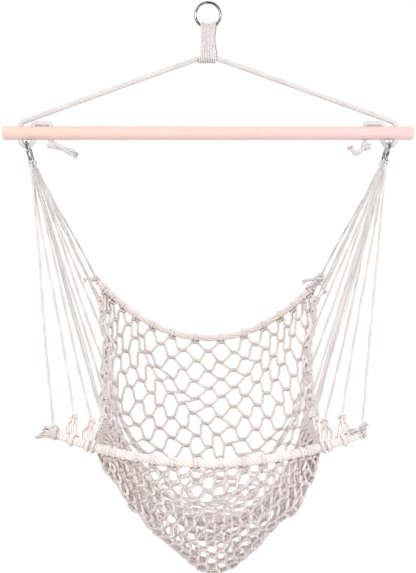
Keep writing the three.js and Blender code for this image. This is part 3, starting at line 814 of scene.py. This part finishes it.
def corner_piece(edge, word, on_rope, half, k, turns, tails, brush, size, cord):
    """Turns round the edge rope's end, the loop that a harness cord ties to, and loose tails."""
    side = -1 if word == "left" else 1
    corner = on_rope(side * half)
    rope_way = unit(on_rope(side * half * 10 / 11) - corner)
    top = ring_place(side, cord_angle(k))
    start, end = corner + rope_way * 0.014, corner - rope_way * 0.007
    chains = wrapped(start, end, 0.008, turns, vec(*tails[0]), 0.012)
    chains.append(foot_knot(corner + unit(top - corner) * 0.010, top - corner, size))
    yarns = []
    for n, tail in enumerate(tails):
        way = vec(*tail)
        run = curve([corner, corner + way * 0.5 + vec(0, -0.003, 0.003), corner + way], 10)
        chains.append(run)
        yarns += frayed(run[-1], run[-1] - run[-3], 0.010, 0.004, 12, 31 + n + k)
    if brush:
        yarns += frayed(corner, vec(*brush), float(np.linalg.norm(brush)), 0.011, 90, 51 + k, True)
    name, node = f"{edge}_corner_{word}", f"{edge}_corner_knot_{word}"
    knot_piece(name, chains, cord / 2, 12, 0.22, yarns, 0.0011, "seat", node)


corner_piece(
    "back", "left", on_back_rope, BACK_HALF, 0, 1.5,
    [(-0.024, -0.014, 0.004)], None, 0.0062, 0.0054,
)
corner_piece(
    "back", "right", on_back_rope, BACK_HALF, 0, 2.5,
    [(-0.034, -0.020, 0.000), (-0.026, -0.026, -0.014), (0.012, -0.020, -0.022)], None, 0.0110, 0.0084,
)
corner_piece(
    "front", "left", on_front_rope, FRONT_HALF, FEET - 1, 2.5,
    [(-0.012, 0, 0.010)], (-0.038, 0, 0.007), 0.0080, 0.0064,
)
corner_piece(
    "front", "right", on_front_rope, FRONT_HALF, FEET - 1, 2.5,
    [(-0.018, -0.010, 0.008), (0.004, -0.012, 0.016)], (0.006, 0, -0.006), 0.0080, 0.0064,
)


# Edge ropes

def edge_chain(on_rope, half, count=90):
    """An edge rope's middle line, which ends a little inside its corners."""
    xs = np.linspace(-half, half, count + 1)
    points = [on_rope(x) for x in xs]
    for end, near in ((0, 1), (-1, -2)):
        points[end] = points[end] + unit(points[near] - points[end]) * CORNER_REACH * 0.2
    return points


keep(
    rope("back_edge_rope", bundle(edge_chain(on_back_rope, BACK_HALF), 5, 0.0046, 0.15), cord_cotton,
         0.0036, lay=0.016, step=0.0028, sides=12, groove=0.12, waver=0.0024),
    "seat", "rope", "back_rope",
)
keep(
    rope("front_edge_rope", [edge_chain(on_front_rope, FRONT_HALF)], edge_cotton, EDGE_RADIUS, lay=0.050,
         step=0.0022, sides=36, groove=0.10, waver=0.003, strands=6),
    "seat", "rope", "front_rope",
)


# Harness cords

STRAND_RADIUS, STRAND_OFFSET = 0.0019, 0.0013
STRAND_PITCH, PITCH_STEP = 0.16, 0.02
GROUP_SPACING = 0.0034  # between the cords of the seventh
CORD_SWAY = 0.0022
FOOT_KNOT_SIZE = 0.0080
KNOT_CORD_RADIUS = 0.0033
LINK_SPACING = 0.009
LINK_BOW, LINK_BOW_STEP = 0.003, 0.0055


def two_turns(middle, along, towards, radius, pitch):
    """Cord twice round a wire or a rope, which starts and ends on the side towards a place."""
    out, across = square_to(along, towards - middle)
    steps = 18
    points = []
    for k in range(2 * steps + 1):
        a = TURN * k / steps
        place = middle + along * pitch * (k / (2 * steps) - 0.5)
        points.append(place + radius * (math.cos(a) * out + math.sin(a) * across))
    return points


def ring_eye(side, angle, towards):
    along = unit(ring_place(side, angle + 0.02) - ring_place(side, angle - 0.02))
    return two_turns(ring_place(side, angle), along, towards, 0.0054, 0.0032)


def rope_eye(on_rope, x, towards, radius):
    along = unit(on_rope(x + 0.004) - on_rope(x - 0.004))
    return two_turns(on_rope(x), along, towards, radius, 0.004)


def side_by_side(chain, count, spacing):
    """Cords that part soon after the ring and come together again at the foot."""
    made = []
    for n in range(count):
        away = vec((n - (count - 1) / 2) * spacing, 0.001 * (-1) ** n, 0)
        made.append([
            p + away * min(1, k / 6, (len(chain) - 1 - k) / 3) * (1 + 0.25 * math.sin(k * 0.35 + 2 * n))
            for k, p in enumerate(chain)
        ])
    return made


def foot_links(side, knot):
    """Three short links from a front foot's knot to the turns round the front rope."""
    x = knot[0]
    hold = rope_eye(on_front_rope, x, knot, EDGE_RADIUS + 0.0014)
    links = []
    for turn in (-1, 0, 1):
        bow = vec(side * LINK_BOW + LINK_BOW_STEP * turn, LINK_BOW * abs(turn), 0)
        low = hold[0] + on_front_rope(x + LINK_SPACING * turn) - on_front_rope(x)
        links.append([knot, (knot + low) / 2 + bow, low])
    return [*links, hold]


def harness_cord(side, k, word):
    """One cord of a side, counted from the back, from its turns on the side ring to its foot."""
    corner = k in (0, FEET - 1)
    if k == 0:
        end = on_back_rope(side * BACK_HALF)
    elif corner:
        end = on_front_rope(side * FRONT_HALF)
    else:
        end = foot(side, k)
    eye = ring_eye(side, cord_angle(k), end)
    top = eye[-1]
    stop = end + unit(top - end) * CORNER_REACH if corner else end
    sway = CORD_SWAY * math.sin(k * 2.3 + side)
    run = []
    for t in np.linspace(0, 1, 40):
        bow = vec(math.sin(TURN * t), 0.6 * math.sin(math.pi * t), 0)
        run.append(top + (stop - top) * t + bow * sway)
    if k == SIDE_FEET - 1:
        strands = side_by_side(run, 4 if side > 0 else 3, GROUP_SPACING)
    else:
        strands = bundle(run, 2, STRAND_OFFSET, STRAND_PITCH + PITCH_STEP * (k % 3))
    knots = [] if corner else [foot_knot(end, top - end, FOOT_KNOT_SIZE)]
    if k >= SIDE_FEET and not corner:
        knots += foot_links(side, end)
    name = f"harness_{word}_{k + 1}"
    piece = rope(
        name + "_pair", [eye + strands[0], *strands[1:]], thin_cotton, STRAND_RADIUS,
        lay=0.008, step=0.003, sides=8, waver=0.0012,
    )
    if knots:
        thick = rope(
            name + "_knot", knots, cord_cotton, KNOT_CORD_RADIUS,
            lay=0.012, step=0.0025, sides=9, groove=0.12,
        )
        piece = joined(name, [piece, thick])
    keep(piece, "seat", "rope", f"harness_cord_{word}_{k + 1}")


for word, side in (("left", -1), ("right", 1)):
    for k in range(FEET):
        harness_cord(side, k, word)
    start = foot(side, SIDE_FEET - 1)
    hold = rope_eye(on_front_rope, side * WAIST_HALF, start, EDGE_RADIUS + 0.0030)
    run = [start + (hold[0] - start) * t for t in np.linspace(0.024, 1, 30)]
    lacing = rope(
        f"net_side_lacing_{word}", bundle(run, 2, 0.0014, 0.05) + [hold], thin_cotton, STRAND_RADIUS,
        lay=0.009, step=0.003, sides=8, waver=0.001,
    )
    keep(lacing, "seat", "rope", f"side_lacing_{word}")


# Net: knots fall from a smooth bag until their legs hold them

COLUMNS, ROWS = 30, 60
LEG = 0.041
LOW_LEG_SHARE = 0.642
MIDDLE_SPACING_SHARE = 1.9  # of an even spacing, at the middle of the first bag
LEG_SPREAD_SHARE = 0.10
KNOT_HALF = 0.008
KNOT_TILT_SHARE = 0.3
LONG_KNOT_HALF, SHORT_KNOT_HALF, KNOT_WIDTH_SHARE = 0.0082, 0.0055, 0.19
TWINE_RADIUS = 0.0032
TURN_RADIUS = 0.0027
MESHES_AT_FEET = (2, 2, 3, 3, 3, 4)  # gathered at each side foot, from the back
GATHER_STEP = 0.004
BAG_DEPTH = 0.35  # of the bag that the fall starts from
FALL_STEPS = 1500
LEG_ROUNDS = 12
KEPT_SPEED_SHARE = 0.96
PUSH_SHARE = 0.25
FALL_SHARE = 0.003  # of a leg, in each step
NARROWING_SHARE, WIDENING_SHARE, DRIFT_SHARE = 0.36, 0.9, 0.14  # of the fall
NARROWING_HALF_WIDTH = 0.2
COLUMN_ROOM, EDGE_COLUMN_ROOM = 0.046, 0.012  # that knots side by side keep
ROW_ROOM, EDGE_ROW_ROOM = 0.018, 0.016  # and knots one above the other
LOW_ROOM_SHARE = 0.75
KNOT_DROP = 0.0033  # from an edge rope's surface to the middle of a knot

# Where each change down the net begins, and over how much, as shares of its rows
SHORTER_LEG_ROW_SHARES = (0.25, 0.25)
LESS_ROOM_ROW_SHARES = (0.35, 0.25)
NARROWER_ROW_SHARES = (0.35, 0.35)
DRIFT_ROW_SHARES = (0.4, 0.2)
WIDEST_ROW_SHARE = 0.3


def side_place(side, row):
    """Where a mesh at the net's edge is held: gathered at the feet, then along the side lacing."""
    mesh, done = row / 2, 0.5
    for k, meshes in enumerate(MESHES_AT_FEET):
        if mesh < done + meshes:
            return foot(side, k + 1) + vec(0, 1, 1) * GATHER_STEP * (done + meshes / 2 - mesh)
        done += meshes
    start = foot(side, SIDE_FEET - 1)
    end = on_front_rope(side * WAIST_HALF) + vec(0, 0.006, 0.009)
    return start + (end - start) * (mesh - done + 0.5) / (ROWS / 2 - done + 0.5)


def under_rope(on_rope, x):
    """The place of a knot under an edge rope, and the way of the rope there."""
    along = unit(on_rope(x + 0.017) - on_rope(x - 0.017))
    down, _ = square_to(along, vec(0, 0, -1))
    return on_rope(x) + down * (EDGE_RADIUS + KNOT_DROP), along


def smooth_bag():
    """The knots' first places, which of them are held, and how the held ones lie."""
    count = (COLUMNS + 1, ROWS + 1)
    place, held, lies = np.zeros((*count, 3)), np.zeros(count, bool), {}
    for i, j in np.ndindex(count):
        s = 2 * i / COLUMNS - 1
        x = s * (MIDDLE_SPACING_SHARE - (MIDDLE_SPACING_SHARE - 1) * abs(s))
        side = -1 if s < 0 else 1
        hang = unit(vec(-side * 0.35, 0, -1))
        t = j / ROWS
        if j in (0, ROWS):
            on_rope, half = (on_front_rope, NET_FRONT_HALF) if j else (on_back_rope, NET_BACK_HALF)
            place[i, j], lies[i, j] = under_rope(on_rope, x * half)
            held[i, j] = True
            continue
        edge = side_place(side, j) + hang * (0.004 + KNOT_HALF)
        if i in (0, COLUMNS):
            place[i, j], lies[i, j], held[i, j] = edge, -side * hang, True
            continue
        middle = on_back_rope(x * NET_BACK_HALF) * (1 - t) + on_front_rope(x * NET_FRONT_HALF) * t
        wall = vec(abs(edge[0]) * x, edge[1], edge[2])
        sag = vec(0, 0, BAG_DEPTH) * (1 - x * x) * math.sin(math.pi * t)
        place[i, j] = middle + (wall - middle) * x * x - sag
    return place, held, lies


def net_legs(index, free):
    """Four sets of legs, in each of which no knot comes twice, so that one step moves a whole set."""
    rng = np.random.default_rng(3)
    sets = []
    for way in (-1, 1):
        for first in (0, 1):
            ends = [
                (i, j) for i in range(first, COLUMNS, 2) for j in range(i % 2, ROWS + 1, 2)
                if 0 <= j + way <= ROWS
            ]
            a = np.array([index[i, j] for i, j in ends])
            b = np.array([index[i + 1, j + way] for i, j in ends])
            rows = np.array([j for _, j in ends]) / ROWS
            share = 1 - (1 - LOW_LEG_SHARE) * eased(ramp(rows, *SHORTER_LEG_ROW_SHARES))
            length = LEG * share * (1 + LEG_SPREAD_SHARE * rng.uniform(-1, 1, len(ends)))
            weight = np.maximum(1, free[a].astype(float) + free[b])
            sets.append((a, b, length, (free[a] / weight)[:, None], (free[b] / weight)[:, None]))
    return sets


def hang_net():
    """The knots' places when the net hangs at rest. A leg only pulls, and close knots push apart."""
    place, held, lies = smooth_bag()
    count = held.shape
    used = np.add.outer(np.arange(count[0]), np.arange(count[1])) % 2 == 0
    index = np.arange(held.size).reshape(count)
    free = (~held & used).reshape(-1)
    legs = net_legs(index, free)
    near = np.array([
        (index[i, j], index[i + di, j + dj])
        for di, dj in ((2, 0), (0, 2)) for i, j in np.ndindex(count)
        if used[i, j] and i + di < count[0] and j + dj < count[1]
    ])
    rows = (index % count[1]).reshape(-1) / ROWS
    columns = 2 * (index // count[1]).reshape(-1) / COLUMNS - 1
    out = np.abs(columns[near]).max(1)
    row_room = ROW_ROOM + (EDGE_ROW_ROOM - ROW_ROOM) * out ** 4
    less = ramp(rows[near].mean(1), *LESS_ROOM_ROW_SHARES) * (1 - LOW_ROOM_SHARE)
    column_room = (COLUMN_ROOM + (EDGE_COLUMN_ROOM - COLUMN_ROOM) * out ** 1.5) * (1 - less)
    room = np.where(near[:, 1] - near[:, 0] == 2, row_room, column_room)
    near_widest = np.maximum(0, 1 - np.abs(rows - WIDEST_ROW_SHARE) / WIDEST_ROW_SHARE)
    widening = WIDENING_SHARE * near_widest * (1 - columns ** 2)
    inward = NARROWING_SHARE * eased(ramp(rows, *NARROWER_ROW_SHARES)) - widening
    drift = DRIFT_SHARE * ramp(rows, *DRIFT_ROW_SHARES)
    flat = place.reshape(-1, 3)
    before = flat.copy()
    pull_down = FALL_SHARE * LEG
    for _ in range(FALL_STEPS):
        moved = (flat - before) * KEPT_SPEED_SHARE
        before = flat.copy()
        flat = flat + np.where(free[:, None], moved, 0)
        flat[free, 2] -= pull_down
        flat[free, 0] += pull_down * (drift - inward * flat[:, 0] / NARROWING_HALF_WIDTH)[free]
        for _ in range(LEG_ROUNDS):
            for a, b, length, share_a, share_b in legs:
                gap = flat[b] - flat[a]
                far = np.sqrt((gap * gap).sum(1))
                pull = np.maximum(0, far - length) / np.maximum(far, 1e-9)
                flat[a] += gap * pull[:, None] * share_a
                flat[b] -= gap * pull[:, None] * share_b
        gap = flat[near[:, 1]] - flat[near[:, 0]]
        far = np.sqrt((gap * gap).sum(1))
        push = gap * (np.maximum(0, room - far) / np.maximum(far, 1e-9) * PUSH_SHARE)[:, None]
        np.add.at(flat, near[:, 0], -push * free[near[:, 0], None])
        np.add.at(flat, near[:, 1], push * free[near[:, 1], None])
    return flat.reshape(*count, 3), lies


net, net_lies = hang_net()


def knot_axes(i, j):
    """A knot's three directions: across the net, along it, and through it."""
    across, along = np.zeros(3), np.zeros(3)
    for di in (-1, 1):
        for dj in (-1, 1):
            if 0 <= i + di <= COLUMNS and 0 <= j + dj <= ROWS:
                way = unit(net[i + di, j + dj] - net[i, j] + 1e-9)
                across += way * di
                along += way * dj
    tilt = KNOT_TILT_SHARE * math.sin(12.9 * i + 7.3 * j)
    across = unit(net_lies.get((i, j), unit(across) + tilt * unit(along + 1e-9)))
    through = unit(np.cross(across, along) + 1e-9)
    return across, np.cross(through, across), through


def knot_half(i, j):
    """Half a knot's length: longer where the meshes are wide."""
    sides = [net[i + di, j] for di in (-2, 2) if 0 <= i + di <= COLUMNS]
    if len(sides) > 1:
        wide = float(np.linalg.norm(sides[-1] - sides[0])) / 2
    else:
        wide = float(np.linalg.norm(sides[0] - net[i, j]))
    return min(LONG_KNOT_HALF, max(SHORT_KNOT_HALF, KNOT_WIDTH_SHARE * wide))


def twine_leg(before, after):
    """Five points from one knot to the next, which carry on the way of the twine in both."""
    a, b = before[-1], after[0]
    reach = float(np.linalg.norm(b - a)) * 0.8
    out, into = unit(before[-1] - before[-3]), unit(after[2] - after[0])
    points = []
    for k in range(1, 6):
        t = k / 6
        passed = eased(t)
        leave, arrive = t * (1 - t) ** 2, t * t * (t - 1)
        points.append((1 - passed) * a + leave * out * reach + passed * b + arrive * into * reach)
    return points


def twine_chain(knots, rising):
    """One twine through its knots: one and a half turns round its neighbour in each."""
    phase = -math.pi / 2 if rising else math.pi / 2
    steps = 9
    chain = []
    for i, j in knots:
        across, along, through = knot_axes(i, j)
        half = knot_half(i, j)
        turns = []
        for k in range(steps + 1):
            s = k / steps
            a = phase + 3 * math.pi * s
            place = net[i, j] + across * half * (2 * s - 1)
            turns.append(place + TURN_RADIUS * (math.cos(a) * through + math.sin(a) * along))
        if chain:
            chain += twine_leg(chain, turns)
        chain += turns
    return chain


def diagonals(rising):
    """The knots that each twine of one slant passes through, from edge to edge."""
    step = 1 if rising else -1
    starts = [(0, j) for j in range(0, ROWS + 1, 2)]
    first = 0 if rising else ROWS
    starts += [(i, first) for i in range(2, COLUMNS + 1, 2)]
    for i, j in starts:
        knots = []
        while 0 <= i <= COLUMNS and 0 <= j <= ROWS:
            knots.append((i, j))
            i, j = i + 1, j + step
        if len(knots) > 1:
            yield knots


def twine(name, chains):
    return rope(name, chains, twine_cotton, TWINE_RADIUS, lay=0.013, step=0.003, sides=8, groove=0.1)


for name, rising in (("net_twine_rising", True), ("net_twine_falling", False)):
    chains = [twine_chain(knots, rising) for knots in diagonals(rising)]
    for half in (0, 1):
        keep(twine(f"{name}_{half + 1}", chains[half::2]), "seat", "rope", "seat_net")
eyes = [
    rope_eye(on_rope, net[i, j][0], net[i, j], EDGE_RADIUS - 0.0008)
    for j, on_rope in ((0, on_back_rope), (ROWS, on_front_rope)) for i in range(0, COLUMNS + 1, 2)
]
keep(twine("net_rope_eyes", eyes), "seat", "rope")


# Studio

def studio_floor():
    half, drop = 12.0, 1.72
    bm = bmesh.new()
    corners = ((-1, -1), (1, -1), (1, 1), (-1, 1))
    bm.faces.new([bm.verts.new((x * half, y * half, -drop)) for x, y in corners])

    def build(g):
        rays = g.node("ShaderNodeLightPath")
        speck = g.node("ShaderNodeTexNoise", None, {"Scale": 3.0, "Detail": 2.0})
        colour = g.mix(speck.out("Fac"), rgb(0.78, 0.78, 0.78), rgb(0.82, 0.82, 0.82))
        plain = g.node("ShaderNodeBsdfDiffuse", None, {"Color": colour})
        # For the camera these two add up to about white: a brighter floor would hide thin cords.
        seen = g.node("ShaderNodeBsdfDiffuse", None, {"Color": rgb(0.25, 0.25, 0.25)})
        lift = g.node("ShaderNodeEmission", None, {"Color": rgb(1, 1, 1), "Strength": 0.79})
        both = g.node("ShaderNodeAddShader", None, {0: seen, 1: lift})
        return g.node("ShaderNodeMixShader", None, {0: rays.out("Is Camera Ray"), 1: plain, 2: both})

    floor = smooth_object("studio_floor", bm, finish("pale floor", build))


def studio_world():
    world = bpy.data.worlds.new("studio")
    world.use_nodes = True
    world.node_tree.nodes.clear()
    g = Graph(world.node_tree)
    rays = g.node("ShaderNodeLightPath")
    seen = (rays.out("Is Camera Ray") + rays.out("Is Transmission Ray")).math("MINIMUM", 1)
    way = g.node("ShaderNodeTexCoord").out("Generated")
    dark = ((g.noise(way, 4.0, 1.0) - 0.42) * 30).clamped()
    up = g.node("ShaderNodeSeparateXYZ", None, {0: way}).out("Z")

    def light(colour, strength):
        return g.node("ShaderNodeBackground", None, {"Color": colour, "Strength": strength})

    dome = light(rgb(1, 0.985, 0.98), up * 0.20 + 0.76)
    white = light(rgb(1, 1, 1), 1.0)
    mirrored = light(g.mix(dark, rgb(1, 1, 1), rgb(0.03, 0.03, 0.035)), 1.0)
    lit = g.node("ShaderNodeMixShader", None, {0: rays.out("Is Glossy Ray"), 1: dome, 2: mirrored})
    surface = g.node("ShaderNodeMixShader", None, {0: seen, 1: lit, 2: white})
    g.node("ShaderNodeOutputWorld", None, {"Surface": surface})
    scene.world = world


def soft_lamp(name, place, target, size, watts):
    data = bpy.data.lights.new(name, "AREA")
    data.shape, data.size, data.energy = "SQUARE", size, watts
    lamp = bpy.data.objects.new(name, data)
    lamp.location = place
    lamp.rotation_euler = (Vector(target) - Vector(place)).to_track_quat("-Z", "Y").to_euler()
    scene.collection.objects.link(lamp)


studio_floor()
studio_world()
soft_lamp("key_lamp", (-1.7, -2.6, 0.9), (0, 0, -0.8), 1.6, 36)
soft_lamp("fill_lamp", (2.2, -1.8, 0.1), (0, 0, -0.8), 1.8, 22)
soft_lamp("back_lamp", (0.6, 2.4, 0.8), (0, 0, -0.7), 1.4, 18)
scene.view_settings.view_transform = "Standard"
